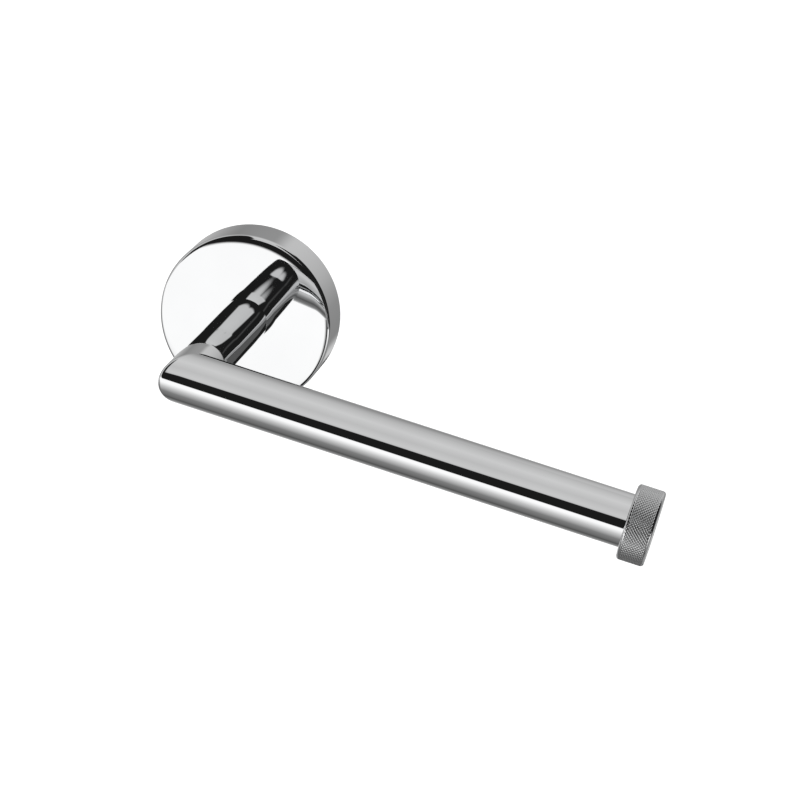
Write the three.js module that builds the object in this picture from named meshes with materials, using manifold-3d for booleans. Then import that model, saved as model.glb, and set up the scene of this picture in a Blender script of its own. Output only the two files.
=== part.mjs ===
// Wall-mounted toilet paper holder: a round flange on a hidden wall bracket, a post,
// a mitred corner, a straight bar and a knurled end cap that unscrews.
// Millimetres, +Z up. The wall is the plane y = 0 and the post runs out of it along -Y.
// The bar runs along +X. The origin is on the wall, on the post's axis.
import * as THREE from 'three';
import { mergeVertices } from 'three/addons/utils/BufferGeometryUtils.js';
import Module from 'manifold-3d';

const wasm = await Module();
wasm.setup();

// Driving dimensions
const FLANGE_R = 27.6;
const FLANGE_DEPTH = 13.95;
const FLANGE_WALL = 2.4;
const FLANGE_FACE = 3;
const FLANGE_EDGE = 1.2;

const POST_R = 7.37;
const BAR_R = 8;
const BAR_WALL = 1.5;
const BAR_AXIS_Y = -70.8;
const BAR_END_X = 135;

const CAP_X = 134.04;
const CAP_LENGTH = 8.25;
const CAP_R = 11.28;
const CAP_EDGE = 1;
const CAP_FLOOR_X = CAP_X + 2.2;
const KNURL_TEETH = 72;
const KNURL_ROWS = 8;
const KNURL_DEPTH = 0.35;

const M6_R = 3;
const GRUB_R = 2.4;
const THREAD_GAP = 0.12;
const WELD_GAP = 0.3;
const REST_GAP = 0.1;
const PIN_R = 1.1;
const PIN_Z = 5.25;
const LOCK_WASHER_THICK = 1.4;

const BRACKET_R = 22;
const BRACKET_PLATE = 2.5;
const BRACKET_RIM = 2.5;
const BRACKET_DEPTH = 8;
const FIXING_X = 12.5;
const WALL_SCREW_R = 2;
const WALL_SCREW_END = 30;
const WASHER_THICK = 0.8;
const ANCHOR_R = 3;
const ANCHOR_END = 27;
const ANCHOR_RECESS_R = 5.2;
const ANCHOR_RECESS = 0.9;

const GRUB_Y = -5;
const GRUB_LENGTH = 5;
const GRUB_TIP_Z = -(BRACKET_R + 0.3);
const BOSS_INNER = 23;

const ROUND = 64;
const SMALL_ROUND = 24;

// Materials
const chrome = new THREE.MeshStandardMaterial({ color: 0xe6e9ec, metalness: 1, roughness: 0.05 });
const knurl = new THREE.MeshStandardMaterial({ color: 0xd2d5d8, metalness: 1, roughness: 0.18 });
const zinc = new THREE.MeshStandardMaterial({ color: 0xa7abb0, metalness: 1, roughness: 0.4 });
const steel = new THREE.MeshStandardMaterial({ color: 0x8f9398, metalness: 1, roughness: 0.35 });
const brass = new THREE.MeshStandardMaterial({ color: 0xc8a24a, metalness: 1, roughness: 0.3 });
const nylon = new THREE.MeshStandardMaterial({ color: 0xd9d9d3, metalness: 0, roughness: 0.6 });

// Helpers: every piece is drawn about its own Y axis, then placed by a group.

// The three corners of each face that has three different corners.
function wholeFaces(index) {
  const kept = [];
  for (let i = 0; i < index.length; i += 3) {
    const [a, b, c] = index.slice(i, i + 3);
    if (a !== b && b !== c && c !== a) kept.push(a, b, c);
  }
  return new Uint32Array(kept);
}

function solid(geometry) {
  const bare = geometry.clone();
  bare.deleteAttribute('normal');
  bare.deleteAttribute('uv');
  const welded = mergeVertices(bare, 1e-4);
  return new wasm.Manifold(new wasm.Mesh({
    numProp: 3,
    vertProperties: new Float32Array(welded.attributes.position.array),
    triVerts: wholeFaces(Array.from(welded.index.array)),
  }));
}

function named(name, shape, material) {
  const { vertProperties, triVerts } = shape.getMesh();
  const geometry = new THREE.BufferGeometry();
  geometry.setAttribute('position', new THREE.BufferAttribute(vertProperties, 3));
  geometry.setIndex(new THREE.BufferAttribute(triVerts, 1));
  geometry.computeVertexNormals();
  const mesh = new THREE.Mesh(geometry, material);
  mesh.name = name;
  return mesh;
}

// A turned solid. The outline lists [radius, y] from the lowest y to the highest.
function turned(outline, sides = ROUND) {
  const points = outline.map(([r, y]) => new THREE.Vector2(r, y));
  return solid(new THREE.LatheGeometry(points, sides));
}

function rod(radius, from, to, sides = ROUND) {
  return turned([[0, from], [radius, from], [radius, to], [0, to]], sides);
}

function ring(inner, outer, from, to, sides = ROUND) {
  return rod(outer, from, to, sides).subtract(rod(inner, from - 1, to + 1, sides));
}

function block(width, height, depth, x, y, z) {
  return solid(new THREE.BoxGeometry(width, height, depth).translate(x, y, z));
}

// Outline points on a quarter circle round [r, y], from one angle to another in degrees.
function arc(r, y, radius, from, to, steps = 5) {
  return Array.from({ length: steps + 1 }, (_, i) => {
    const angle = THREE.MathUtils.degToRad(from + ((to - from) * i) / steps);
    return [r + radius * Math.cos(angle), y + radius * Math.sin(angle)];
  });
}

// A cross-shaped driver recess that goes down from y = top.
function crossRecess(top, depth, size) {
  const across = block(size, depth * 2, 1, 0, top, 0);
  return across.add(block(1, depth * 2, size, 0, top, 0));
}

function hexRecess(across, from, to) {
  return rod(across / Math.sqrt(3), from, to, 6);
}

// Removes what lies below a sloping plane through [0, y], leaning by the given angle.
function belowMitre(angle, y) {
  const size = 90;
  const cutter = new THREE.BoxGeometry(size, size, size);
  cutter.translate(0, (WELD_GAP - size) / 2, 0);
  cutter.rotateZ(angle);
  cutter.translate(0, y, 0);
  return solid(cutter);
}

// Wall side: bracket, screws, washers and anchors

function slottedHole(x) {
  const radius = WALL_SCREW_R + 0.3;
  const travel = 2;
  const ends = [x - travel, x + travel].map((at) =>
    rod(radius, -BRACKET_PLATE - 1, 1, SMALL_ROUND).translate([at, 0, 0]));
  const middle = block(travel * 2, BRACKET_PLATE + 2, radius * 2, x, -BRACKET_PLATE / 2, 0);
  return ends[0].add(ends[1]).add(middle);
}

function wallBracket() {
  let plate = turned([
    [0, -BRACKET_PLATE],
    [BRACKET_R - BRACKET_RIM, -BRACKET_PLATE],
    [BRACKET_R - BRACKET_RIM, -BRACKET_DEPTH],
    [BRACKET_R - 0.6, -BRACKET_DEPTH],
    [BRACKET_R, -BRACKET_DEPTH + 0.6],
    [BRACKET_R, 0],
    [0, 0],
  ]);
  for (const x of [-FIXING_X, FIXING_X]) {
    const recess = rod(ANCHOR_RECESS_R, -ANCHOR_RECESS, 1, SMALL_ROUND).translate([x, 0, 0]);
    plate = plate.subtract(slottedHole(x)).subtract(recess);
  }
  return plate;
}

function wallScrew() {
  const seat = -BRACKET_PLATE - WASHER_THICK - 2 * REST_GAP;
  const body = turned([
    [0, seat - 2.6],
    [2.6, seat - 2.6],
    [3.7, seat - 1.6],
    [3.9, seat],
    [WALL_SCREW_R, seat],
    [WALL_SCREW_R, WALL_SCREW_END - 4],
    [0, WALL_SCREW_END],
  ], SMALL_ROUND);
  return body.subtract(crossRecess(seat - 2.6, 1.5, 3.6));
}

function wallWasher() {
  const near = -BRACKET_PLATE - REST_GAP;
  return ring(WALL_SCREW_R + 0.2, 4.6, near - WASHER_THICK, near, SMALL_ROUND);
}

// An expansion plug with a collar on the wall, three barbs and a slot through its far half.
function wallAnchor() {
  const barbs = [8, 14, 20].flatMap((y) => [
    [ANCHOR_R, y],
    [ANCHOR_R + 0.35, y + 0.4],
    [ANCHOR_R + 0.35, y + 1],
    [ANCHOR_R, y + 3],
  ]);
  const body = turned([
    [0, -0.6],
    [4.6, -0.6],
    [4.6, 0],
    [ANCHOR_R, 0],
    ...barbs,
    [ANCHOR_R - 0.4, ANCHOR_END],
    [0, ANCHOR_END],
  ], SMALL_ROUND);
  const bore = rod(WALL_SCREW_R + 0.15, -2, ANCHOR_END + 1, SMALL_ROUND);
  const slot = block(9, ANCHOR_END - 8, 0.9, 0, 10 + (ANCHOR_END - 8) / 2, 0);
  return body.subtract(bore).subtract(slot);
}

// Holder: flange cover, post and what fastens them

function flangeCover() {
  const rounded = arc(FLANGE_R - FLANGE_EDGE, FLANGE_EDGE - FLANGE_DEPTH, FLANGE_EDGE, 270, 360, 6);
  const outside = turned([[0, -FLANGE_DEPTH], ...rounded, [FLANGE_R, 0], [0, 0]]);
  const floor = FLANGE_FACE - FLANGE_DEPTH;
  const hollow = rod(FLANGE_R - FLANGE_WALL, floor, 1);
  const bossDepth = FLANGE_R - 1 - BOSS_INNER;
  const boss = block(10, 9.9, bossDepth, 0, floor + 4.45, -BOSS_INNER - bossDepth / 2);
  const grubHole = rod(GRUB_R + THREAD_GAP, BOSS_INNER - 1, FLANGE_R + 1, SMALL_ROUND)
    .rotate([-90, 0, 0])
    .translate([0, GRUB_Y, 0]);
  return outside.subtract(hollow)
    .add(boss)
    .subtract(grubHole)
    .subtract(rod(M6_R + 0.3, -FLANGE_DEPTH - 1, floor + 1, SMALL_ROUND))
    .subtract(pinHole());
}

function pinHole() {
  return rod(PIN_R + THREAD_GAP, -FLANGE_DEPTH - 6, 1 - FLANGE_DEPTH + FLANGE_FACE, 16)
    .translate([0, 0, PIN_Z]);
}

function locatingPin() {
  return rod(PIN_R, -FLANGE_DEPTH - 5.6, -FLANGE_DEPTH + FLANGE_FACE - 0.4, 16)
    .translate([0, 0, PIN_Z]);
}

// The mitre runs from the crease inside the corner to the tip outside it.
function post() {
  const foot = -FLANGE_DEPTH - REST_GAP;
  const blank = rod(POST_R, BAR_AXIS_Y - 2 * BAR_R, foot);
  const tapped = rod(M6_R + THREAD_GAP, foot - 14, 0, SMALL_ROUND);
  return blank.subtract(belowMitre(Math.atan2(BAR_R, POST_R), BAR_AXIS_Y))
    .subtract(tapped)
    .subtract(pinHole());
}

function lockWasher() {
  const seat = FLANGE_FACE - FLANGE_DEPTH + REST_GAP;
  const whole = ring(M6_R + 0.25, 5.8, seat, seat + LOCK_WASHER_THICK, 32);
  const split = block(0.8, 4, 5, 0, seat, -4.5);
  return whole.subtract(split);
}

function postScrew() {
  const seat = FLANGE_FACE - FLANGE_DEPTH + 2 * REST_GAP + LOCK_WASHER_THICK;
  const head = seat + 3.6;
  const body = turned([
    [0, -FLANGE_DEPTH - 12],
    [M6_R - 0.6, -FLANGE_DEPTH - 12],
    [M6_R, -FLANGE_DEPTH - 11.2],
    [M6_R, seat],
    [5, seat],
    [5, head - 0.4],
    [4.6, head],
    [0, head],
  ], 32);
  return body.subtract(hexRecess(5, head - 2.4, head + 1));
}

function setScrew() {
  const body = turned([
    [0, 0],
    [GRUB_R - 0.9, 0],
    [GRUB_R, 0.7],
    [GRUB_R, GRUB_LENGTH - 0.3],
    [GRUB_R - 0.3, GRUB_LENGTH],
    [0, GRUB_LENGTH],
  ], SMALL_ROUND);
  return body.subtract(hexRecess(2.5, GRUB_LENGTH - 2, GRUB_LENGTH + 1));
}

// Bar and end cap: drawn with local y along the bar

function bar() {
  const blank = ring(BAR_R - BAR_WALL, BAR_R, -2 * BAR_R, BAR_END_X);
  return blank.subtract(belowMitre(-Math.atan2(POST_R, BAR_R), 0));
}

function barEndPlug() {
  return ring(M6_R + THREAD_GAP, BAR_R - BAR_WALL - 0.1, BAR_END_X - 13, BAR_END_X - 0.2, 32);
}

function capWasher() {
  return ring(M6_R + 0.4, BAR_R - 0.3, BAR_END_X + REST_GAP, CAP_FLOOR_X - REST_GAP, 32);
}

// A turned blank whose side is pressed in at every second point, which leaves small pyramids.
function knurledBlank() {
  const from = CAP_X + CAP_EDGE;
  const to = CAP_X + CAP_LENGTH - CAP_EDGE;
  const lower = arc(CAP_R - CAP_EDGE, from, CAP_EDGE, 270, 360, 3);
  const upper = arc(CAP_R - CAP_EDGE, to, CAP_EDGE, 0, 90, 3);
  const band = Array.from({ length: KNURL_ROWS - 1 }, (_, row) =>
    [CAP_R, from + ((to - from) * (row + 1)) / KNURL_ROWS]);
  const outline = [[0, CAP_X], ...lower, ...band, ...upper, [0, CAP_X + CAP_LENGTH]];
  const points = outline.map(([r, y]) => new THREE.Vector2(r, y));
  const blank = new THREE.LatheGeometry(points, KNURL_TEETH);
  const place = blank.attributes.position;
  const firstRow = 1 + lower.length;
  for (let tooth = 0; tooth <= KNURL_TEETH; tooth += 1) {
    for (let row = 0; row < band.length; row += 1) {
      if ((tooth + row) % 2) continue;
      const at = tooth * points.length + firstRow + row;
      const keep = 1 - KNURL_DEPTH / CAP_R;
      place.setX(at, place.getX(at) * keep);
      place.setZ(at, place.getZ(at) * keep);
    }
  }
  return solid(blank);
}

function endCap() {
  return knurledBlank()
    .subtract(rod(BAR_R + 0.15, CAP_X - 1, CAP_FLOOR_X))
    .subtract(rod(M6_R + THREAD_GAP, CAP_X, CAP_X + 6, SMALL_ROUND));
}

function capStud() {
  return turned([
    [0, BAR_END_X - 10.5],
    [M6_R - 0.6, BAR_END_X - 10.5],
    [M6_R, BAR_END_X - 9.8],
    [M6_R, CAP_X + 5.2],
    [M6_R - 0.6, CAP_X + 5.8],
    [0, CAP_X + 5.8],
  ], SMALL_ROUND);
}

// The assembly

const holder = new THREE.Group();

holder.add(named('wall_bracket', wallBracket(), zinc));
for (const [side, x] of [['left', -FIXING_X], ['right', FIXING_X]]) {
  const fixing = new THREE.Group();
  fixing.position.x = x;
  fixing.add(named(`wall_screw_${side}`, wallScrew(), steel));
  fixing.add(named(`wall_washer_${side}`, wallWasher(), zinc));
  fixing.add(named(`wall_anchor_${side}`, wallAnchor(), nylon));
  holder.add(fixing);
}

holder.add(named('flange_cover', flangeCover(), chrome));
holder.add(named('post', post(), chrome));
holder.add(named('locating_pin', locatingPin(), steel));
holder.add(named('lock_washer', lockWasher(), steel));
holder.add(named('post_screw', postScrew(), steel));

const alongBar = new THREE.Group();
alongBar.position.y = BAR_AXIS_Y;
alongBar.rotation.z = -Math.PI / 2;
alongBar.add(named('bar', bar(), chrome));
alongBar.add(named('bar_end_plug', barEndPlug(), brass));
alongBar.add(named('cap_washer', capWasher(), nylon));
alongBar.add(named('end_cap', endCap(), knurl));
alongBar.add(named('cap_stud', capStud(), steel));
holder.add(alongBar);

const underFlange = new THREE.Group();
underFlange.position.set(0, GRUB_Y, GRUB_TIP_Z);
underFlange.rotation.x = -Math.PI / 2;
underFlange.add(named('set_screw', setScrew(), steel));
holder.add(underFlange);

export default holder;
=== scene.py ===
"""Looks of a chrome wall-mounted toilet paper holder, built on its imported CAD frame. Metres, +Z up."""

import itertools
import math

import bmesh
import bpy
import numpy as np
from mathutils import Matrix, Vector


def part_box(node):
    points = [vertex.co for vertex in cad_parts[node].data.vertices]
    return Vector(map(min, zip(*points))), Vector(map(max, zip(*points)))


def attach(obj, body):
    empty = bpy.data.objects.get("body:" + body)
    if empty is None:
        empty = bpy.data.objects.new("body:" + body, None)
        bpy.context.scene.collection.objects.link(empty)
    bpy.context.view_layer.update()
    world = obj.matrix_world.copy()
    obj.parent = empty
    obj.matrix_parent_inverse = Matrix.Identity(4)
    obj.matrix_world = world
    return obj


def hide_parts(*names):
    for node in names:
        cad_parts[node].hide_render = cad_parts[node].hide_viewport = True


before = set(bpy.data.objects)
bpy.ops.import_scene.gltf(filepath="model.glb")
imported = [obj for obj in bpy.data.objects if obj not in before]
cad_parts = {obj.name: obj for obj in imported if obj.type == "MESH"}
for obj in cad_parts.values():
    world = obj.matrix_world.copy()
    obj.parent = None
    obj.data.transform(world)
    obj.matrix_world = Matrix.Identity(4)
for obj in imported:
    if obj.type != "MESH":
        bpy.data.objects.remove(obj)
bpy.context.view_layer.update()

MM = 0.001
TINY = 1e-6

# ---------------------------------------------------------------- driving dimensions

flange_low, flange_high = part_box("flange_cover")
bar_low, bar_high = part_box("bar")
cap_low, cap_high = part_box("end_cap")
grub_low, grub_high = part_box("set_screw")
pin_low, pin_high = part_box("locating_pin")

FLANGE_R = flange_high.z
FLANGE_FACE_Y = flange_low.y
FLANGE_EDGE = 1.2 * MM
FLANGE_FLAT_R = FLANGE_R - FLANGE_EDGE
FLANGE_DOME = 0.36 * MM
DOME_POWER = 4
DIP_WIDTH = 3.0 * MM
DIP_DEPTH = 0.07 * MM
ROLL_WIDTH = 3.0 * MM
ROLL_DEPTH = 0.05 * MM
FLANGE_WALL = 2.4 * MM
FLANGE_FLOOR_Y = FLANGE_FACE_Y + 3 * MM
BOSS_INNER = 23 * MM
BOSS_HALF_WIDTH = 5 * MM
BOSS_HEIGHT = 9.4 * MM

BAR_R = bar_high.z
BAR_AXIS_Y = bar_low.y + BAR_R
BAR_END_X = bar_high.x
BAR_BORE_R = BAR_R - 1.5 * MM
POST_R = 7.37 * MM

CAP_R = cap_high.z
CAP_FROM_X = cap_low.x
CAP_TO_X = cap_high.x
CAP_EDGE = 1.0 * MM
CAP_FLOOR_X = CAP_FROM_X + 2.2 * MM
CAP_BORE_R = BAR_R + 0.15 * MM
STUD_HOLE_X = CAP_FROM_X + 6 * MM
# The knurling: flat tops between V grooves, shallower towards both ends of the band. Points further than
# KNURL_REACH inside the band's radius are left alone.
KNURLS_AROUND = 72
KNURL_DEPTH = 0.17 * MM
KNURL_FLAT = 0.5
KNURL_FADE = 0.7 * MM
KNURL_REACH = 0.6 * MM

# Holes. A cutting tool runs past the surface that it opens.
TOOL_PAST = 1 * MM
HOLE_R = 3.12 * MM
SCREW_HOLE_R = 3.3 * MM
PIN_Z = (pin_low.z + pin_high.z) / 2
PIN_HOLE_R = 1.22 * MM
GRUB_HOLE_R = 2.52 * MM
GRUB_Y = (grub_low.y + grub_high.y) / 2

# ---------------------------------------------------------------- camera

CAMERA_AZIMUTH = math.radians(7.79)
CAMERA_ELEVATION = math.radians(21.79)
CAMERA_ROLL = math.radians(14.99)
CAMERA_PLACE = Vector((0.15882, -0.78101, 0.30047))
CAMERA_LENS_MM = 120.86
SENSOR_MM = 36.0


def camera_axes():
    """The camera's right, up and back directions, from its azimuth, elevation and roll."""
    level = Vector((math.cos(CAMERA_AZIMUTH), math.sin(CAMERA_AZIMUTH), 0))
    level_back = Vector((math.sin(CAMERA_AZIMUTH), -math.cos(CAMERA_AZIMUTH), 0))
    back = level_back * math.cos(CAMERA_ELEVATION) + Vector((0, 0, math.sin(CAMERA_ELEVATION)))
    upright = back.cross(level)
    right = level * math.cos(CAMERA_ROLL) + upright * math.sin(CAMERA_ROLL)
    return right, back.cross(right), back


def add_camera():
    """A long lens in front, slightly right and above, rolled so that the bar slopes down to its end."""
    data = bpy.data.cameras.new("photo_camera")
    data.sensor_width = SENSOR_MM
    data.lens = CAMERA_LENS_MM
    data.clip_start = 0.01
    data.clip_end = 50
    camera = bpy.data.objects.new("photo_camera", data)
    bpy.context.scene.collection.objects.link(camera)
    axes = Matrix(camera_axes()).transposed().to_4x4()
    camera.matrix_world = Matrix.Translation(CAMERA_PLACE) @ axes
    bpy.context.scene.camera = camera


add_camera()

# ---------------------------------------------------------------- mesh helpers


def add_object(name, verts, faces, material, sharp=35):
    mesh = bpy.data.meshes.new(name)
    mesh.from_pydata([tuple(v) for v in verts], [], faces)
    mesh.validate()
    piece = bpy.data.objects.new(name, mesh)
    bpy.context.scene.collection.objects.link(piece)
    mesh.materials.append(material)
    face_outwards(mesh)
    mesh.shade_smooth()
    mesh.set_sharp_from_angle(angle=math.radians(sharp))
    return piece


def face_outwards(mesh):
    """Merges doubled points and turns every face outwards."""
    work = bmesh.new()
    work.from_mesh(mesh)
    bmesh.ops.remove_doubles(work, verts=work.verts, dist=1e-7)
    bmesh.ops.recalc_face_normals(work, faces=work.faces)
    if work.calc_volume(signed=True) < 0:
        bmesh.ops.reverse_faces(work, faces=work.faces)
    work.to_mesh(mesh)
    work.free()


def arc(centre_r, centre_a, radius, start, end, steps):
    """Outline points (radius, along) round a circle, between two angles in degrees."""
    angles = np.radians(np.linspace(start, end, steps + 1))
    return [(centre_r + radius * math.cos(a), centre_a + radius * math.sin(a)) for a in angles]


def joined_rings(rings, closed_along):
    """Faces between rings of equal length that close on themselves; short rings of one point make fans."""
    verts = []
    starts = []
    for ring in rings:
        starts.append(len(verts))
        verts.extend(ring)
    faces = []
    pairs = list(zip(range(len(rings) - 1), range(1, len(rings))))
    if closed_along:
        pairs.append((len(rings) - 1, 0))
    for low, high in pairs:
        a, b = starts[low], starts[high]
        na, nb = len(rings[low]), len(rings[high])
        for i in range(max(na, nb)):
            j = (i + 1) % max(na, nb)
            face = [a + i % na, a + j % na, b + j % nb, b + i % nb]
            faces.append(list(dict.fromkeys(face)))
    return verts, faces


def revolve(name, outline, place, along, material, around=160, sharp=35):
    """A turned solid. Its outline lists (radius, distance along) and closes unless it starts on the axis.

    A radius may be a function of the turn, for sockets and threads.
    """
    along = Vector(along)
    side = along.orthogonal().normalized()
    other = along.cross(side)
    turns = [2 * math.pi * i / around for i in range(around)]
    rings = []
    for radius, distance in outline:
        centre = Vector(place) + along * distance
        if radius == 0:
            rings.append([centre])
            continue
        ring = []
        for turn in turns:
            reach = radius(turn) if callable(radius) else radius
            ring.append(centre + (side * math.cos(turn) + other * math.sin(turn)) * reach)
        rings.append(ring)
    solid_core = outline[0][0] == 0
    verts, faces = joined_rings(rings, closed_along=not solid_core)
    return add_object(name, verts, faces, material, sharp)


def hexagon(across):
    """Radius round a hexagon, by its distance across flats."""
    return lambda turn: across / 2 / math.cos(turn % (math.pi / 3) - math.pi / 6)


def cross(reach):
    """Radius round a cross whose arms end where they are 30 degrees wide."""
    def radius(turn):
        folded = abs((turn + math.pi / 4) % (math.pi / 2) - math.pi / 4)
        half_width = reach * math.tan(math.radians(15))
        return min(reach / math.cos(folded), half_width / max(math.sin(folded), TINY))
    return radius


def thread(radius, depth, pitch, start, end, crest=0.25, taper=0.0):
    """Outline rings of a thread that runs out at its start, and at its end or along a tapered tip."""
    rows_per_turn = 10
    rows = round((end - start) / pitch * rows_per_turn)
    rings = []
    for at in np.linspace(start, end, rows + 1):
        size = min(1.0, max((end - at) / taper, 0.06)) if taper else 1.0
        fade = min(1.0, (at - start) / pitch) * (1.0 if taper else min(1.0, (end - at) / pitch))
        rings.append((thread_ring(radius * size, depth * size * fade, at / pitch, crest), at))
    return rings


def thread_ring(radius, depth, advance, crest):
    """Radius round one ring of a thread, with a flat crest and a V between crests."""
    def reach(turn):
        valley = 1 - abs((advance - turn / (2 * math.pi)) % 1.0 * 2 - 1)
        return radius - depth * min(max((valley - crest) / (0.9 - crest), 0.0), 1.0)
    return reach


def box_piece(name, low, high, material):
    """A plain block between two corners, for cutting or joining."""
    corners = [Vector(corner) for corner in itertools.product(*zip(low, high))]
    faces = [(0, 1, 3, 2), (4, 6, 7, 5), (0, 4, 5, 1), (2, 3, 7, 6), (0, 2, 6, 4), (1, 5, 7, 3)]
    return add_object(name, corners, faces, material)


def drill(base, radius, start, end, material, sharp=35):
    """Cuts a round hole between two points."""
    start, end = Vector(start), Vector(end)
    length = (end - start).length
    outline = [(0, 0), (radius, 0), (radius, length), (0, length)]
    bit = revolve("bit", outline, start, (end - start).normalized(), material, around=64)
    return combine(base, bit, "DIFFERENCE", sharp)


def soften(base, width, sharp=35):
    """Breaks the sharp edges with a small round."""
    step = base.modifiers.new("soften", "BEVEL")
    step.width = width
    step.segments = 2
    step.limit_method = "ANGLE"
    step.angle_limit = math.radians(40)
    return bake(base, sharp)


def bake(base, sharp):
    """Applies the modifiers and marks the sharp edges again."""
    ready = base.evaluated_get(bpy.context.evaluated_depsgraph_get())
    mesh = bpy.data.meshes.new_from_object(ready)
    base.modifiers.clear()
    base.data = mesh
    mesh.shade_smooth()
    mesh.set_sharp_from_angle(angle=math.radians(sharp))
    return base


def combine(base, other, operation, sharp=35):
    """Cuts other out of base, or joins it on, and removes other."""
    step = base.modifiers.new("combine", "BOOLEAN")
    step.object = other
    step.operation = operation
    step.solver = "EXACT"
    bake(base, sharp)
    bpy.data.objects.remove(other)
    return base


def polish(piece, true_normal):
    """Gives each corner of each face the exact normal, where true_normal(corner, face) knows it."""
    mesh = piece.data
    normals = [Vector(n.vector) for n in mesh.corner_normals]
    for face in mesh.polygons:
        for loop in face.loop_indices:
            corner = mesh.vertices[mesh.loops[loop].vertex_index].co
            exact = true_normal(corner, face)
            if exact is not None:
                normals[loop] = exact
    mesh.normals_split_custom_set(normals)


def place(piece, body, slot, *nodes):
    """Rides the piece on its body in place of its CAD nodes, which it hides. The slot is not used."""
    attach(piece, body)
    if nodes:
        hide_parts(*nodes)
    return piece


# ---------------------------------------------------------------- materials


def node_material(name):
    material = bpy.data.materials.new(name)
    material.use_nodes = True
    nodes = material.node_tree.nodes
    return material, nodes, material.node_tree.links, nodes["Principled BSDF"]


def noise(nodes, links, source, scale, detail):
    texture = nodes.new("ShaderNodeTexNoise")
    texture.inputs["Scale"].default_value = scale
    texture.inputs["Detail"].default_value = detail
    links.new(source, texture.inputs["Vector"])
    return texture.outputs["Fac"]


def ramp(nodes, links, source, low, high, start=0.3, end=0.7):
    """Maps a 0 to 1 value to between two colours."""
    table = nodes.new("ShaderNodeValToRGB")
    table.color_ramp.elements[0].position = start
    table.color_ramp.elements[1].position = end
    table.color_ramp.elements[0].color = (*low, 1)
    table.color_ramp.elements[1].color = (*high, 1)
    links.new(source, table.inputs["Fac"])
    return table.outputs["Color"]


def spread(nodes, links, source, low, high):
    """Maps a 0 to 1 value to between two numbers."""
    span = nodes.new("ShaderNodeMapRange")
    span.inputs["From Min"].default_value = 0.3
    span.inputs["From Max"].default_value = 0.7
    span.inputs["To Min"].default_value = low
    span.inputs["To Max"].default_value = high
    links.new(source, span.inputs["Value"])
    return span.outputs["Result"]


def bump(nodes, links, source, shader, strength, distance):
    relief = nodes.new("ShaderNodeBump")
    relief.inputs["Strength"].default_value = strength
    relief.inputs["Distance"].default_value = distance
    links.new(source, relief.inputs["Height"])
    links.new(relief.outputs["Normal"], shader.inputs["Normal"])


def metal(name, dark, light, rough_low, rough_high, grain=400, relief=0.0):
    material, nodes, links, shader = node_material(name)
    where = nodes.new("ShaderNodeTexCoord").outputs["Object"]
    cloud = noise(nodes, links, where, scale=grain / 8, detail=3)
    fine = noise(nodes, links, where, scale=grain * 4, detail=4)
    links.new(ramp(nodes, links, cloud, dark, light), shader.inputs["Base Color"])
    links.new(spread(nodes, links, fine, rough_low, rough_high), shader.inputs["Roughness"])
    shader.inputs["Metallic"].default_value = 1.0
    if relief:
        bump(nodes, links, fine, shader, strength=0.4, distance=relief)
    return material


def plastic(name, dark, light):
    material, nodes, links, shader = node_material(name)
    where = nodes.new("ShaderNodeTexCoord").outputs["Object"]
    cloud = noise(nodes, links, where, scale=180, detail=3)
    fine = noise(nodes, links, where, scale=2600, detail=3)
    links.new(ramp(nodes, links, cloud, dark, light), shader.inputs["Base Color"])
    links.new(spread(nodes, links, fine, low=0.42, high=0.6), shader.inputs["Roughness"])
    shader.inputs["Subsurface Weight"].default_value = 0.1
    shader.inputs["Subsurface Scale"].default_value = 1 * MM
    bump(nodes, links, fine, shader, strength=0.3, distance=0.05 * MM)
    return material


# Each metal has a dark and a light tint, and a low and a high roughness.
chrome = metal("polished_chrome", (0.93, 0.935, 0.94), (0.96, 0.965, 0.97), 0.012, 0.03)
knurled = metal("knurled_chrome", (0.80, 0.805, 0.81), (0.90, 0.905, 0.91), 0.10, 0.18)
zinc = metal("zinc_plate", (0.50, 0.52, 0.54), (0.66, 0.68, 0.70), 0.30, 0.46, 300, 0.02 * MM)
steel = metal("fastener_steel", (0.42, 0.43, 0.45), (0.58, 0.59, 0.61), 0.22, 0.38, 300, 0.01 * MM)
brass = metal("brass", (0.66, 0.48, 0.18), (0.80, 0.62, 0.28), 0.2, 0.34, 300, 0.01 * MM)
nylon = plastic("nylon", (0.72, 0.72, 0.69), (0.84, 0.84, 0.81))

# ---------------------------------------------------------------- arm: post and bar as one skin

AROUND_ARM = 192
ARM_SHARP = 42
ARM_BORE_DEPTH = 14 * MM
ROOT_BEVEL = 0.04 * MM
CORNER_STEPS = 10
CORNER_ROUND = 1.2 * MM
CREASE_ROUND = 0.06 * MM
CREASE_Y = BAR_AXIS_Y + BAR_R + 0.2 * MM
# The post starts to grow towards the bar's height here.
GROW_Y = BAR_AXIS_Y + 27 * MM
POST_STATIONS = [FLANGE_FACE_Y - 6 * MM, FLANGE_FACE_Y - 20 * MM, GROW_Y + 2 * MM, GROW_Y + 0.25 * MM,
                 GROW_Y - 0.25 * MM, GROW_Y - 2 * MM, GROW_Y - 8 * MM, CREASE_Y]
# Shares of the run from the crease to each line's own corner, and from there to the bar's end.
CORNER_STATIONS = [0.02, 0.3, 0.6, 0.9]
BAR_STATIONS = [0.03, 0.08, 0.2, 0.4, 0.6, 0.8, 0.9, 0.95, 1]


def face_y(radius):
    """The flange's face: slightly domed, dipped round the post and rolled off near its edge."""
    dip = max(1 - (radius - POST_R) / DIP_WIDTH, 0)
    roll = max(1 - (FLANGE_FLAT_R - radius) / ROLL_WIDTH, 0)
    dome = FLANGE_DOME * (radius / FLANGE_FLAT_R) ** DOME_POWER
    return FLANGE_FACE_Y + dome + DIP_DEPTH * dip ** 2 + ROLL_DEPTH * roll ** 3


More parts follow.
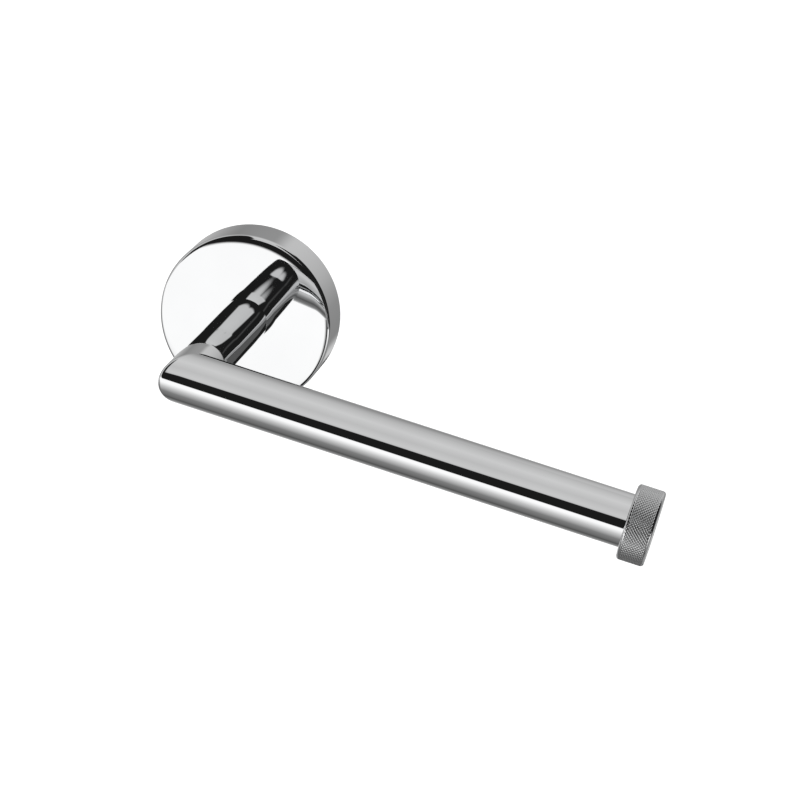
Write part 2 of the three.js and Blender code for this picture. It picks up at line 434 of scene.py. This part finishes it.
def face_slope(radius):
    """How fast face_y grows with the radius."""
    dip = max(1 - (radius - POST_R) / DIP_WIDTH, 0)
    roll = max(1 - (FLANGE_FLAT_R - radius) / ROLL_WIDTH, 0)
    dome = DOME_POWER * FLANGE_DOME / FLANGE_FLAT_R * (radius / FLANGE_FLAT_R) ** (DOME_POWER - 1)
    return dome - 2 * DIP_DEPTH * dip / DIP_WIDTH + 3 * ROLL_DEPTH * roll ** 2 / ROLL_WIDTH


def face_end():
    """Where the face meets the round of its edge: the radius there, and the Y of the round's centre."""
    radius = FLANGE_FLAT_R
    for _ in range(30):
        radius = FLANGE_FLAT_R + FLANGE_EDGE * math.sin(math.atan(face_slope(radius)))
    return radius, face_y(radius) + FLANGE_EDGE * math.cos(math.atan(face_slope(radius)))


def corner_path(side):
    """Points (x, y) of one line of the skin round the corner. side is 1 outside and -1 inside."""
    corner = Vector((-POST_R * side, BAR_AXIS_Y - BAR_R * side))
    radius = CREASE_ROUND + (CORNER_ROUND - CREASE_ROUND) * max(side, 0.0) ** 0.5
    centre = corner + Vector((radius, radius))
    angles = [math.pi * (1 + i / CORNER_STEPS / 2) for i in range(CORNER_STEPS + 1)]
    return [centre + Vector((math.cos(a), math.sin(a))) * radius for a in angles]


def half_height(y):
    """Half the height of the arm's section, which grows from the post's to the bar's before the corner."""
    grown = min(max((GROW_Y - y) / (GROW_Y - CREASE_Y), 0.0), 1.0)
    return POST_R + (BAR_R - POST_R) * grown


def arm_line(turn):
    """Skin points of the arm in one direction round its section, from the flange to the cap."""
    side, height = math.cos(turn), math.sin(turn)
    root_y = face_y(POST_R) - 0.01 * MM
    corner = corner_path(side)
    start, finish = corner[0], corner[-1]
    skin = [(start.x, y) for y in POST_STATIONS]
    skin += [(start.x, CREASE_Y + (start.y - CREASE_Y) * share) for share in CORNER_STATIONS]
    skin += [(p.x, p.y) for p in corner]
    skin += [(finish.x + (BAR_END_X - finish.x) * share, finish.y) for share in BAR_STATIONS]
    line = [Vector((-r * side, y, r * height)) for r, y in
            ((POST_R - ROOT_BEVEL, root_y), (POST_R, root_y - ROOT_BEVEL))]
    line += [Vector((x, y, half_height(y) * height)) for x, y in skin]
    return line


def arm():
    """One closed skin over the post and the bar, with a bore at each end and a hole for the pin."""
    lines = [arm_line(2 * math.pi * (k + 0.5) / AROUND_ARM) for k in range(AROUND_ARM)]
    rings = [list(ring) for ring in zip(*lines)]
    bar_axis = Vector((BAR_END_X, BAR_AXIS_Y, 0))
    bore = [bar_axis + Vector((0, p.y - BAR_AXIS_Y, p.z)) * (BAR_BORE_R / BAR_R) for p in rings[-1]]
    deep = [p - Vector((ARM_BORE_DEPTH, 0, 0)) for p in bore]
    root = Vector((0, rings[0][0].y, 0))
    inner = [root + Vector((p.x, 0, p.z)).normalized() * HOLE_R for p in rings[0]]
    bottom = [p - Vector((0, ARM_BORE_DEPTH, 0)) for p in inner]
    rings = [[Vector((0, bottom[0].y, 0))], bottom, inner, *rings, bore, deep]
    rings.append([Vector((deep[0].x, BAR_AXIS_Y, 0))])
    verts, faces = joined_rings(rings, closed_along=False)
    piece = add_object("arm", verts, faces, chrome, sharp=ARM_SHARP)
    pin_tip = (0, pin_low.y - 0.4 * MM, PIN_Z)
    drill(piece, PIN_HOLE_R, pin_tip, (0, FLANGE_FLOOR_Y, PIN_Z), chrome, sharp=ARM_SHARP)
    return place(piece, "holder", "polished_chrome", "post", "bar")


arm()

# ---------------------------------------------------------------- flange cover


def flange_outline():
    """Section of the cover: out along its face, round its edge, down its side and back inside."""
    face_r, edge_y = face_end()
    tilt = math.degrees(math.atan(face_slope(face_r)))
    dip_steps, face_steps, rim_round = 12, 39, 0.3 * MM
    outline = [(SCREW_HOLE_R, face_y(POST_R))]
    radii = [POST_R + DIP_WIDTH * i / dip_steps for i in range(dip_steps)]
    radii += list(np.linspace(POST_R + DIP_WIDTH, face_r, face_steps + 1)[:-1])
    outline += [(r, face_y(r)) for r in radii]
    outline += arc(FLANGE_FLAT_R, edge_y, FLANGE_EDGE, 270 + tilt, 360, 18)
    outline += [(FLANGE_R, edge_y + 0.4 * MM), (FLANGE_R, -0.8 * MM), (FLANGE_R, -rim_round)]
    outline += arc(FLANGE_R - rim_round, -rim_round, rim_round, 0, 90, 4)
    inner_r = FLANGE_R - FLANGE_WALL
    return outline + [(inner_r, 0), (inner_r, FLANGE_FLOOR_Y), (SCREW_HOLE_R, FLANGE_FLOOR_Y)]


def flange():
    """The cover, with an inner boss and a hole for the set screw, and a hole for the pin."""
    piece = revolve("flange_cover_polished", flange_outline(), (0, 0, 0), (0, 1, 0), chrome, around=256)
    boss_outer = FLANGE_R - FLANGE_WALL + 0.6 * MM
    boss = box_piece("boss", (-BOSS_HALF_WIDTH, FLANGE_FLOOR_Y - 0.5 * MM, -boss_outer),
                     (BOSS_HALF_WIDTH, FLANGE_FLOOR_Y + BOSS_HEIGHT, -BOSS_INNER), chrome)
    combine(piece, soften(boss, 0.5 * MM), "UNION")
    grub_from, grub_to = -FLANGE_R - TOOL_PAST, -BOSS_INNER + TOOL_PAST
    drill(piece, GRUB_HOLE_R, (0, GRUB_Y, grub_from), (0, GRUB_Y, grub_to), chrome)
    countersink = [(0, 0), (GRUB_HOLE_R + 0.9 * MM, 0), (GRUB_HOLE_R - 0.1 * MM, 1 * MM), (0, 1 * MM)]
    mouth = revolve("mouth", countersink, (0, GRUB_Y, -FLANGE_R - 0.6 * MM), (0, 0, 1), chrome, around=64)
    combine(piece, mouth, "DIFFERENCE")
    pin_from, pin_to = FLANGE_FACE_Y - TOOL_PAST, FLANGE_FLOOR_Y + TOOL_PAST
    drill(piece, PIN_HOLE_R, (0, pin_from, PIN_Z), (0, pin_to, PIN_Z), chrome)
    polish(piece, flange_normal)
    return place(piece, "holder", "polished_chrome", "flange_cover")


def flange_normal(corner, face):
    """Exact normal on the cover's side, edge and face, or None elsewhere."""
    radius = math.hypot(corner.x, corner.z)
    out = Vector((corner.x, 0, corner.z)).normalized()
    face_r, edge_y = face_end()
    if radius > FLANGE_R - TINY and face.normal.dot(out) > 0.99:
        return out
    if face.center.y > edge_y or radius < POST_R - TINY:
        return None
    if radius > face_r + 0.01 * MM:
        return (out * (radius - FLANGE_FLAT_R) + Vector((0, corner.y - edge_y, 0))).normalized()
    if face.normal.y < -0.9:
        return (out * face_slope(radius) + Vector((0, -1, 0))).normalized()
    return None


flange()

# ---------------------------------------------------------------- end cap with diamond knurling


def knurl_drop(turn, along):
    """Depth, 0 to 1, of two crossing sets of V grooves at a place on the band, counted in knurls."""
    first = abs((turn + along) % 1.0 - 0.5) * 2
    second = abs((turn - along) % 1.0 - 0.5) * 2
    return min(max((max(first, second) - KNURL_FLAT) / (1 - KNURL_FLAT), 0.0), 1.0)


def end_cap():
    """A cup over the bar's end, with a hole for the stud and a knurled band between two rounds."""
    band_from, band_to = CAP_FROM_X + CAP_EDGE, CAP_TO_X - CAP_EDGE
    pitch = 2 * math.pi * CAP_R / KNURLS_AROUND
    per_knurl = 8
    around = KNURLS_AROUND * per_knurl
    rows = round((band_to - band_from) / pitch * per_knurl)
    mouth = 0.15 * MM
    outline = [(0, STUD_HOLE_X), (HOLE_R, STUD_HOLE_X), (HOLE_R, CAP_FLOOR_X), (CAP_BORE_R, CAP_FLOOR_X)]
    outline += [(CAP_BORE_R, CAP_FROM_X + mouth), (CAP_BORE_R + mouth, CAP_FROM_X)]
    outline += [(CAP_R - CAP_EDGE - 0.3 * MM, CAP_FROM_X)]
    outline += arc(CAP_R - CAP_EDGE, band_from, CAP_EDGE, 270, 360, 8)
    outline += [(CAP_R, band_from + (band_to - band_from) * i / rows) for i in range(1, rows)]
    outline += arc(CAP_R - CAP_EDGE, band_to, CAP_EDGE, 0, 90, 8)
    outline += [(CAP_R - CAP_EDGE - 0.3 * MM, CAP_TO_X), (0, CAP_TO_X)]
    piece = revolve("end_cap_knurled", outline, (0, BAR_AXIS_Y, 0), (1, 0, 0), knurled, around, sharp=50)
    for vertex in piece.data.vertices:
        press_knurl(vertex, band_from, band_to, pitch)
    piece.data.update()
    return place(piece, "cap", "knurled_chrome", "end_cap")


def press_knurl(vertex, band_from, band_to, pitch):
    """Pushes a point of the band in by the depth of the knurling there, which fades at both rounds."""
    y, z = vertex.co.y - BAR_AXIS_Y, vertex.co.z
    radius = math.hypot(y, z)
    if radius < CAP_R - KNURL_REACH:
        return
    turn = math.atan2(z, y) / (2 * math.pi) * KNURLS_AROUND
    along = (vertex.co.x - band_from) / pitch
    from_edge = min(vertex.co.x - band_from, band_to - vertex.co.x)
    fade = min(max(from_edge / KNURL_FADE + 0.9, 0.0), 1.0)
    keep = 1 - KNURL_DEPTH * knurl_drop(turn, along) * fade / radius
    vertex.co.y = BAR_AXIS_Y + y * keep
    vertex.co.z = z * keep


end_cap()

# ---------------------------------------------------------------- wall side

WALL_SCREW_R = 2 * MM
SLOT_R = 2.3 * MM
SLOT_HALF_RUN = 2 * MM


def ends(node, axis):
    """The middle of a node's box, moved to its low end along the axis, and its length."""
    low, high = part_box(node)
    middle = (Vector(low) + Vector(high)) / 2
    middle[axis] = low[axis]
    return middle, high[axis] - low[axis]


def wall_bracket():
    """A round plate with a rim, slotted for the wall screws and relieved behind for the anchors' collars."""
    low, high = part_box("wall_bracket")
    outer, depth = high.z, -low.y
    plate, rim = 2.5 * MM, 2.5 * MM
    inner = outer - rim
    bend, lip_inside, lip_outside, back = 0.8 * MM, 0.3 * MM, 0.7 * MM, 0.3 * MM
    outline = [(0, -plate), (inner - bend, -plate)]
    outline += arc(inner - bend, -plate - bend, bend, 90, 0, 5)
    outline += arc(inner + lip_inside, -depth + lip_inside, lip_inside, 180, 270, 3)
    outline += arc(outer - lip_outside, -depth + lip_outside, lip_outside, 270, 360, 5)
    outline += arc(outer - back, -back, back, 0, 90, 3)
    outline += [(0, 0)]
    piece = revolve("wall_bracket_formed", outline, (0, 0, 0), (0, 1, 0), zinc, around=128)
    cut_from, relief_r, relief_depth = -plate - TOOL_PAST, 5.2 * MM, 0.9 * MM
    for side in ("left", "right"):
        x = ends(f"wall_screw_{side}", 1)[0].x
        slot_from, slot_to = x - SLOT_HALF_RUN, x + SLOT_HALF_RUN
        slot = box_piece("slot", (slot_from, cut_from, -SLOT_R), (slot_to, TOOL_PAST, SLOT_R), zinc)
        combine(piece, slot, "DIFFERENCE")
        for end in (slot_from, slot_to):
            drill(piece, SLOT_R, (end, cut_from, 0), (end, TOOL_PAST, 0), zinc)
        drill(piece, relief_r, (x, -relief_depth, 0), (x, TOOL_PAST, 0), zinc)
    return place(piece, "wall_fixing", "zinc_plate", "wall_bracket")


def wall_screw(side):
    """A pan head with a cross recess, over a wood-screw thread with a tapered tip."""
    head, length = ends(f"wall_screw_{side}", 1)
    seat = 2.6 * MM
    outline = [(0, 1.5 * MM), (cross(1.1 * MM), 1.5 * MM), (cross(1.8 * MM), 0), (2.3 * MM, 0)]
    outline += [(2.95 * MM, 0.14 * MM), (3.4 * MM, 0.5 * MM), (3.7 * MM, 1.0 * MM), (3.86 * MM, 1.7 * MM)]
    outline += [(3.9 * MM, seat - 0.15 * MM), (3.8 * MM, seat), (WALL_SCREW_R, seat)]
    thread_from, thread_to = seat + 1.5 * MM, length - 0.3 * MM
    outline += thread(WALL_SCREW_R, 0.6 * MM, 1.8 * MM, thread_from, thread_to, crest=0.12, taper=5 * MM)
    outline += [(0, length)]
    piece = revolve(f"wall_screw_{side}_threaded", outline, head, (0, 1, 0), steel, around=48)
    return place(piece, "wall_fixing", "fastener_steel", f"wall_screw_{side}")


def ring_section(inner, outer, length, edge):
    """Section (radius, distance along) of a ring with broken edges."""
    return [(inner + edge, 0), (outer - edge, 0), (outer, edge), (outer, length - edge),
            (outer - edge, length), (inner + edge, length), (inner, length - edge), (inner, edge)]


def flat_ring(name, node, axis, along, inner, outer, material, edge=0.12 * MM):
    """A washer or a sleeve with broken edges, as long as its node."""
    start, length = ends(node, axis)
    outline = ring_section(inner, outer, length, edge)
    return revolve(name, outline, start, along, material, around=96, sharp=30)


def wall_washer(side):
    node = f"wall_washer_{side}"
    piece = flat_ring(f"{node}_turned", node, 1, (0, 1, 0), 2.2 * MM, 4.6 * MM, zinc)
    return place(piece, "wall_fixing", "zinc_plate", node)


def wall_anchor(side):
    """A moulded plug with a collar, three barbs and a slit from its middle to its tip."""
    start, length = ends(f"wall_anchor_{side}", 1)
    collar, collar_r, body, bore = 0.6 * MM, 4.6 * MM, 3 * MM, WALL_SCREW_R + 0.15 * MM
    outline = [(bore + 0.5 * MM, 0), (collar_r - 0.2 * MM, 0), (collar_r, 0.2 * MM)]
    outline += [(collar_r, collar), (body, collar)]
    for barb in (8.6 * MM, 14.6 * MM, 20.6 * MM):
        outline += [(body, barb), (body + 0.35 * MM, barb + 0.35 * MM), (body + 0.35 * MM, barb + 1 * MM)]
        outline += [(body + 0.12 * MM, barb + 2.2 * MM), (body, barb + 3 * MM)]
    outline += [(body - 0.15 * MM, length - 1.2 * MM), (body - 0.45 * MM, length - 0.2 * MM)]
    outline += [(body - 0.6 * MM, length), (bore, length), (bore, 0.5 * MM)]
    piece = revolve(f"wall_anchor_{side}_moulded", outline, start, (0, 1, 0), nylon, around=64)
    half_slit = Vector((4.5 * MM, 0, 0.45 * MM))
    slit_from, slit_to = start + Vector((0, 10.6 * MM, 0)), start + Vector((0, length + TOOL_PAST, 0))
    combine(piece, box_piece("slit", slit_from - half_slit, slit_to + half_slit, nylon), "DIFFERENCE")
    return place(piece, "wall_fixing", "nylon", f"wall_anchor_{side}")


wall_bracket()
for hand in ("left", "right"):
    wall_screw(hand)
    wall_washer(hand)
    wall_anchor(hand)

# ---------------------------------------------------------------- inside the holder and the cap

M6_R = 3 * MM
M6_TIP_R = M6_R - 0.6 * MM


def m6_thread(start, end):
    return thread(M6_R, 0.55 * MM, 1 * MM, start, end)


def hex_socket(across, depth, chamfer, widening):
    """Outline of a hexagon socket, from the middle of its floor to its mouth."""
    side = hexagon(across)
    return [(0, depth), (side, depth - 0.2 * MM), (side, chamfer), (hexagon(across + widening), 0)]


def post_screw():
    """A cap screw with a hexagon socket."""
    tip, length = ends("post_screw", 1)
    head = tip + Vector((0, length, 0))
    head_r, seat = 5 * MM, 3.6 * MM
    outline = hex_socket(5 * MM, 2.5 * MM, 0.15 * MM, 0.3 * MM)
    outline += [(head_r - 0.5 * MM, 0)] + arc(head_r - 0.4 * MM, 0.4 * MM, 0.4 * MM, 270, 360, 4)
    outline += [(head_r, seat - 0.2 * MM), (head_r - 0.2 * MM, seat), (M6_R, seat)]
    outline += m6_thread(seat + 0.6 * MM, length - 0.5 * MM)
    outline += [(M6_TIP_R, length), (0, length)]
    piece = revolve("post_screw_threaded", outline, head, (0, -1, 0), steel, around=48)
    return place(piece, "holder", "fastener_steel", "post_screw")


def lock_washer():
    """A spring washer: a square ring with a slanting split at the bottom."""
    start, length = ends("lock_washer", 1)
    section = ring_section(3.25 * MM, 5.8 * MM, length, 0.12 * MM)
    steps, bottom, split, slant = 96, -90, 10, 8 * MM
    rings = []
    for i in range(steps + 1):
        turn = math.radians(bottom + split / 2 + (360 - split) * i / steps)
        ring = []
        for radius, at in section:
            angle = turn + (at - length / 2) / slant
            ring.append(Vector((radius * math.cos(angle), start.y + at, radius * math.sin(angle))))
        rings.append(ring)
    caps = [[sum(ring, Vector()) / len(ring)] for ring in (rings[0], rings[-1])]
    verts, faces = joined_rings([caps[0], *rings, caps[1]], closed_along=False)
    piece = add_object("lock_washer_sprung", verts, faces, steel, sharp=30)
    return place(piece, "holder", "fastener_steel", "lock_washer")


def locating_pin():
    start, length = ends("locating_pin", 1)
    radius, edge = (pin_high.z - pin_low.z) / 2, 0.25 * MM
    outline = [(0, 0), (radius - edge, 0), (radius, edge), (radius, length - edge)]
    outline += [(radius - edge, length), (0, length)]
    piece = revolve("locating_pin_turned", outline, start, (0, 1, 0), steel, around=48)
    return place(piece, "holder", "fastener_steel", "locating_pin")


def set_screw():
    """A grub screw, its hexagon socket facing down."""
    start, length = ends("set_screw", 2)
    radius = 2.4 * MM
    outline = hex_socket(2.5 * MM, 2.2 * MM, 0.12 * MM, 0.2 * MM)
    outline += [(radius - 0.35 * MM, 0)]
    outline += thread(radius, 0.45 * MM, 0.8 * MM, 0.3 * MM, length - 0.7 * MM)
    outline += [(radius - 0.9 * MM, length), (0, length)]
    piece = revolve("set_screw_threaded", outline, start, (0, 0, 1), steel, around=48)
    return place(piece, "grub", "fastener_steel", "set_screw")


def cap_stud():
    start, length = ends("cap_stud", 0)
    outline = [(0, 0), (M6_TIP_R, 0)] + m6_thread(0.4 * MM, length - 0.4 * MM)
    outline += [(M6_TIP_R, length), (0, length)]
    piece = revolve("cap_stud_threaded", outline, start, (1, 0, 0), steel, around=48)
    return place(piece, "cap", "fastener_steel", "cap_stud")


def bar_end_rings():
    """The plug inside the bar's end, and the washer between that end and the cap."""
    along = (1, 0, 0)
    plug = flat_ring("bar_end_plug_turned", "bar_end_plug", 0, along, HOLE_R, 6.4 * MM, brass, 0.3 * MM)
    place(plug, "holder", "brass", "bar_end_plug")
    washer = flat_ring("cap_washer_moulded", "cap_washer", 0, along, 3.4 * MM, 7.7 * MM, nylon)
    place(washer, "seal", "nylon", "cap_washer")


post_screw()
lock_washer()
locating_pin()
set_screw()
cap_stud()
bar_end_rings()

# ---------------------------------------------------------------- studio

FLOOR_Z = -0.30
FLOOR_HALF = 12


def floor():
    """A large pale floor that mirrors don't show, so that the studio's light is all they reflect."""
    material, nodes, links, shader = node_material("pale_floor")
    where = nodes.new("ShaderNodeTexCoord").outputs["Object"]
    cloud = noise(nodes, links, where, scale=3, detail=2)
    tint = ramp(nodes, links, cloud, (0.90, 0.90, 0.90), (0.93, 0.93, 0.93))
    links.new(tint, shader.inputs["Base Color"])
    shader.inputs["Roughness"].default_value = 0.9
    shader.inputs["Emission Color"].default_value = (1, 1, 1, 1)
    shader.inputs["Emission Strength"].default_value = 1.0
    corners = [(x * FLOOR_HALF, y * FLOOR_HALF, FLOOR_Z) for x, y in ((-1, -1), (1, -1), (1, 1), (-1, 1))]
    mesh = bpy.data.meshes.new("floor")
    mesh.from_pydata(corners, [], [(0, 1, 2, 3)])
    mesh.materials.append(material)
    piece = bpy.data.objects.new("floor", mesh)
    bpy.context.scene.collection.objects.link(piece)
    piece.visible_glossy = False


floor()


# Soft light round the camera's level axis: degrees up from the camera, and brightness as a display grey.
# A white sheet is low in front, a soft box is overhead, and the room is dim below and behind.
DOME = [
    (-180, 198), (-165, 184), (-147, 130), (-126, 78), (-117, 101), (-92, 124), (-66, 195), (-45, 250),
    (-12, 250), (-1, 184), (12, 198), (35, 187), (66, 201), (103, 182), (127, 154), (148, 132), (169, 178),
]
# Wall of the studio behind the object on the right: up, from -1 to 1, and brightness as a display grey.
BACK_WALL = [(-0.3, 150), (-0.1, 128), (0.1, 138), (0.35, 170), (0.6, 188)]
LOW_BEHIND_GREY = 70
CARD_GREY = 26
PANEL_GREY = 84
PANEL_TOP, PANEL_BOTTOM = math.radians(-30), math.radians(-52)
STRIP_GREY = 60
STRIP_TOP, STRIP_BOTTOM = math.radians(-10), math.radians(-13)
CHROME_REFLECTS = 0.94
# A colour mix node's sockets.
MIX_BASE, MIX_TOP, MIX_RESULT = 6, 7, 2


def emitted(grey):
    """Linear light that chrome shows as a display grey."""
    shown = grey / 255
    return ((shown + 0.055) / 1.055) ** 2.4 / CHROME_REFLECTS


class Graph:
    """Shader nodes of one tree, wired by plain calls. A mask is 0 to 1."""

    def __init__(self, tree):
        self.nodes, self.links = tree.nodes, tree.links

    def feed(self, socket, value):
        if isinstance(value, bpy.types.NodeSocket):
            self.links.new(value, socket)
        else:
            socket.default_value = value

    def calc(self, operation, *values):
        node = self.nodes.new("ShaderNodeMath")
        node.operation = operation
        for socket, value in zip(node.inputs, values):
            self.feed(socket, value)
        return node.outputs[0]

    def line(self, value, slope, offset):
        return self.calc("MULTIPLY_ADD", value, slope, offset)

    def along(self, direction, axis):
        node = self.nodes.new("ShaderNodeVectorMath")
        node.operation = "DOT_PRODUCT"
        self.links.new(direction, node.inputs[0])
        node.inputs[1].default_value = axis
        return node.outputs["Value"]

    def over(self, value, edge, blur=0.02):
        """Mask of where the value is over the edge."""
        node = self.nodes.new("ShaderNodeMapRange")
        node.interpolation_type = "SMOOTHSTEP"
        self.feed(node.inputs["Value"], self.calc("SUBTRACT", value, edge))
        node.inputs["From Min"].default_value = -blur
        node.inputs["From Max"].default_value = blur
        return node.outputs["Result"]

    def both(self, first, *others):
        for mask in others:
            first = self.calc("MULTIPLY", first, mask)
        return first

    def either(self, first, *others):
        for mask in others:
            first = self.calc("MAXIMUM", first, mask)
        return first

    def greys(self, value, low, high, stops):
        """Colour by a value between low and high, through (value, display grey) stops."""
        table = self.nodes.new("ShaderNodeValToRGB")
        while len(table.color_ramp.elements) < len(stops):
            table.color_ramp.elements.new(0.5)
        for element, (at, grey) in zip(table.color_ramp.elements, stops):
            element.position = (at - low) / (high - low)
            element.color = (*[emitted(grey)] * 3, 1)
        scale = 1 / (high - low)
        self.links.new(self.line(value, scale, -low * scale), table.inputs["Fac"])
        return table.outputs["Color"]

    def paint(self, base, colour, mask):
        """Lays a colour, or a plain brightness, over the base where the mask is 1."""
        mix = self.nodes.new("ShaderNodeMix")
        mix.data_type = "RGBA"
        self.links.new(mask, mix.inputs["Factor"])
        self.links.new(base, mix.inputs[MIX_BASE])
        if isinstance(colour, bpy.types.NodeSocket):
            self.links.new(colour, mix.inputs[MIX_TOP])
        else:
            mix.inputs[MIX_TOP].default_value = (colour, colour, colour, 1)
        return mix.outputs[MIX_RESULT]


class View:
    """The light's direction, from -1 to 1 along each camera axis and as angles round the camera."""

    def __init__(self, graph):
        direction = graph.nodes.new("ShaderNodeTexCoord").outputs["Generated"]
        self.right, self.up, self.back = [graph.along(direction, axis) for axis in camera_axes()]
        self.pitch = graph.calc("MULTIPLY", graph.calc("ARCTAN2", self.up, self.back), 180 / math.pi)
        self.height = graph.calc("ARCSINE", self.up)
        self.turn = graph.calc("ARCTAN2", self.right, self.back)


def back_wall(graph, view):
    """Mask of the wall behind the object on the right."""
    left, near, soft = 0.25, -0.35, 0.08
    return graph.both(graph.over(view.right, left, soft), graph.over(near, view.back, soft))


def low_behind(graph, view):
    """Mask of a dim band that slants down to the right, low behind the object."""
    slope, shift, half_width, left, right, near = 0.96, 0.044, 0.08, -0.06, 0.3, -0.6
    middle = graph.calc("ADD", graph.line(view.right, slope, shift), view.up)
    return graph.both(graph.over(half_width, graph.calc("ABSOLUTE", middle), 0.03),
                      graph.over(view.right, left, 0.01), graph.over(right, view.right, 0.05),
                      graph.over(near, view.back, 0.1))


def off_soft_box(graph, view):
    """Mask of what lies below the soft box's front edge or past its left or right edge."""
    front_rise = graph.line(view.turn, -0.6, math.radians(-0.6))
    front_edge = graph.calc("MINIMUM", front_rise, math.radians(3))
    left_edge = graph.line(view.up, 0.28, -0.42)
    right_edge = graph.line(view.up, 0.1, 0.095)
    past_right = graph.both(graph.over(view.right, right_edge), graph.over(0.8, view.up))
    below_front = graph.over(front_edge, view.height)
    return graph.either(below_front, graph.over(left_edge, view.right), past_right)


def off_white_sheet(graph, view):
    """Mask of what lies over the white sheet's sloping top edge or past its right edge."""
    across, upright, towards, right_edge = 0.285, 0.751, 0.596, -0.27
    over_top = graph.line(view.right, across, graph.calc("MULTIPLY", view.up, upright))
    over_top = graph.calc("ADD", over_top, graph.calc("MULTIPLY", view.back, towards))
    return graph.either(graph.over(over_top, 0), graph.over(view.right, right_edge, 0.03))


def camera_side(graph, view):
    """Mask of the camera's side of the studio, without its far left and its low right."""
    low_right = graph.both(graph.over(view.right, 0.3, 0.08),
                           graph.over(math.radians(-27), view.height, 0.05))
    near = graph.over(graph.line(view.right, 0.3, view.back), 0, 0.1)
    return graph.both(near, graph.over(view.right, -0.9), graph.calc("SUBTRACT", 1, low_right))


def studio():
    """A soft box overhead, a white sheet low on the left, and black cards on the camera's side."""
    world = bpy.data.worlds.new("studio")
    bpy.context.scene.world = world
    world.use_nodes = True
    graph = Graph(world.node_tree)
    view = View(graph)

    light = graph.greys(view.pitch, -180, 180, DOME)
    light = graph.paint(light, graph.greys(view.up, -1, 1, BACK_WALL), back_wall(graph, view))
    light = graph.paint(light, emitted(LOW_BEHIND_GREY), low_behind(graph, view))

    front = camera_side(graph, view)
    card = graph.both(off_soft_box(graph, view), off_white_sheet(graph, view), front)
    light = graph.paint(light, emitted(CARD_GREY), card)
    panel = graph.both(graph.over(view.right, -0.02), graph.over(PANEL_TOP, view.height, 0.03),
                       graph.over(view.height, PANEL_BOTTOM, 0.05), front)
    light = graph.paint(light, emitted(PANEL_GREY), panel)
    strip = graph.both(graph.over(view.right, 0.11), graph.over(view.height, STRIP_BOTTOM),
                       graph.over(STRIP_TOP, view.height), front)
    light = graph.paint(light, emitted(STRIP_GREY), strip)

    seen = graph.nodes.new("ShaderNodeLightPath").outputs["Is Camera Ray"]
    graph.links.new(graph.paint(light, 1.0, seen), graph.nodes["Background"].inputs["Color"])


studio()
bpy.context.scene.view_settings.view_transform = "Standard"
